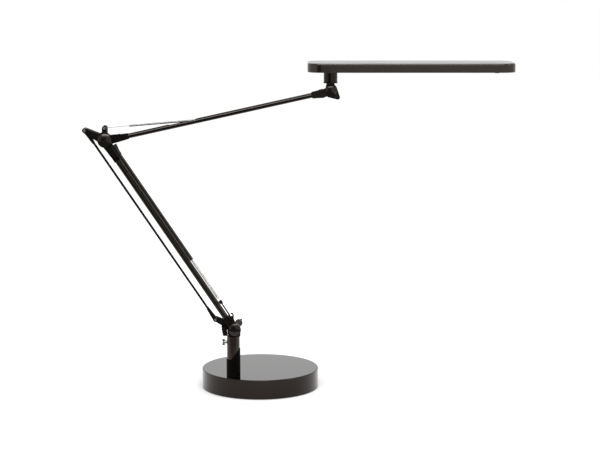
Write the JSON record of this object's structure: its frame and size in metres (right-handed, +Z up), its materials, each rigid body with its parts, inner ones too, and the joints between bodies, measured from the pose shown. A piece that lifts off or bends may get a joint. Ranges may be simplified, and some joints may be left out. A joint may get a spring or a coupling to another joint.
{
  "type": "desk lamp",
  "caption": "Spring-balanced desk lamp: round weighted base, swivelling post, two hinged arms with a levelling rod, and a flat tilting light head.",
  "frame": {"origin": "centre of the base's underside, on the table", "axes": "+X from the base towards the light head, +Y to the back of the lamp, +Z up"},
  "size_m": [0.6981, 0.2176, 0.5543],
  "materials": {
    "gloss_black": "gloss black-brown lacquer",
    "satin_black": "semi-gloss black paint",
    "tube_black": "gloss black paint on tube",
    "moulded_black": "moulded black plastic, satin",
    "cap_black": "moulded black plastic, domed",
    "head_gloss": "gloss black-brown",
    "head_underside": "fine matt black",
    "diffuser_white": "opal white",
    "cast_iron": "raw cast",
    "zinc_steel": "zinc plated",
    "bright_nickel": "bright nickel plate",
    "spring_steel": "drawn steel wire",
    "black_wire": "blacked steel wire",
    "rubber_pad": "matt rubber",
    "nylon": "black nylon",
    "heat_sheet": "plain sheet",
    "board_white": "white lacquered board",
    "led_yellow": "phosphor",
    "driver_case": "matt case"
  },
  "bodies": {
    "base": {"base_cover": "gloss_black", "base_weight": "cast_iron", "base_plate": "zinc_steel", "base_pad": "rubber_pad", "base_screws": "zinc_steel", "post_bolt": "zinc_steel", "post_tube": "satin_black", "post_bush": "nylon", "post_sleeve": "moulded_black"},
    "thumb_screw": {"thumb_screw": "bright_nickel"},
    "swivel": {"swivel_bracket": "satin_black", "spring_stud": "black_wire", "rod_pin_lower": "bright_nickel", "cable_gland": "moulded_black", "lower_pivot_bolt": "zinc_steel", "lower_pivot_washer": "zinc_steel", "lower_pivot_cap": "cap_black"},
    "wing_nut": {"wing_nut": "bright_nickel", "wing_tips": "moulded_black"},
    "lower_arm": {"lower_tube": "tube_black", "lower_arm_fork": "moulded_black", "lower_arm_tongue": "moulded_black", "spring_tube": "tube_black", "spring_anchor": "bright_nickel", "tube_saddles": "moulded_black", "lower_spring": "spring_steel", "lower_spring_hook": "black_wire"},
    "level_rod": {"level_rod": "tube_black", "rod_end_upper": "moulded_black", "rod_end_lower": "moulded_black"},
    "elbow": {"elbow_plate_front": "satin_black", "elbow_plate_back": "satin_black", "ear_pins": "bright_nickel", "spring_roller": "nylon", "elbow_bolt": "zinc_steel", "elbow_nut": "zinc_steel", "elbow_caps": "cap_black"},
    "upper_arm": {"upper_tube": "tube_black", "upper_arm_tongue": "moulded_black", "upper_head_tongue": "moulded_black", "upper_spring_anchor": "bright_nickel", "upper_spring": "spring_steel"},
    "knuckle": {"head_knuckle": "satin_black", "tilt_stop_pin": "bright_nickel", "head_bolt": "zinc_steel", "head_nut": "zinc_steel", "head_caps": "cap_black", "spindle_clip": "zinc_steel"},
    "head": {"head_shell": "head_gloss", "head_cover_sheet": "head_underside", "head_diffuser": "diffuser_white", "heat_spreader": "heat_sheet", "led_board": "board_white", "led_chips": "led_yellow", "led_driver": "driver_case", "head_screws": "zinc_steel", "switch_body": "driver_case", "head_boss": "moulded_black", "head_bush": "nylon"},
    "switch_button": {"switch_button": "head_underside"}
  },
  "joints": [
    {"name": "post_swivel", "type": "hinge", "parent": "base", "child": "swivel", "pos_m": [-0.0427, -0.074, 0.1033], "axis": [0, 0, 1], "continuous": true},
    {"name": "lower_arm_tilt", "type": "hinge", "parent": "swivel", "child": "lower_arm", "pos_m": [-0.0399, -0.074, 0.1145], "axis": [0, 1, 0], "range_deg": [-6, 62], "deforming": ["lower_spring", "lower_spring_hook"]},
    {"name": "level_rod_swing", "type": "hinge", "parent": "swivel", "child": "level_rod", "pos_m": [-0.0721, -0.074, 0.1309], "axis": [0, 1, 0], "range_deg": [-7, 63]},
    {"name": "elbow_level", "type": "hinge", "parent": "lower_arm", "child": "elbow", "pos_m": [-0.24935, -0.074, 0.42737], "axis": [0, 1, 0], "range_deg": [-63, 7]},
    {"name": "upper_arm_tilt", "type": "hinge", "parent": "elbow", "child": "upper_arm", "pos_m": [-0.24935, -0.074, 0.42737], "axis": [0, -1, 0], "range_deg": [-25, 30], "deforming": ["upper_spring"]},
    {"name": "head_tilt", "type": "hinge", "parent": "upper_arm", "child": "knuckle", "pos_m": [0.11823, -0.074, 0.50885], "axis": [0, -1, 0], "range_deg": [-45, 28]},
    {"name": "head_swivel", "type": "hinge", "parent": "knuckle", "child": "head", "pos_m": [0.11683, -0.074, 0.52026], "axis": [0, 0, 1], "range_deg": [-90, 90]},
    {"name": "thumb_screw_turn", "type": "hinge", "parent": "base", "child": "thumb_screw", "pos_m": [-0.0547, -0.074, 0.0925], "axis": [-1, 0, 0], "range_deg": [0, 360]},
    {"name": "wing_nut_turn", "type": "hinge", "parent": "swivel", "child": "wing_nut", "pos_m": [-0.0399, -0.062, 0.1145], "axis": [0, 1, 0], "range_deg": [0, 360]},
    {"name": "switch_push", "type": "slide", "parent": "head", "child": "switch_button", "axis": [0, 0, 1], "range_m": [0, 0.001], "stiffness_N_per_m": 300, "springref_m": -0.0005}
  ],
  "couplings": [
    {"joint": "level_rod_swing", "follows": "lower_arm_tilt", "ratio": 1},
    {"joint": "elbow_level", "follows": "lower_arm_tilt", "ratio": -1}
  ]
}
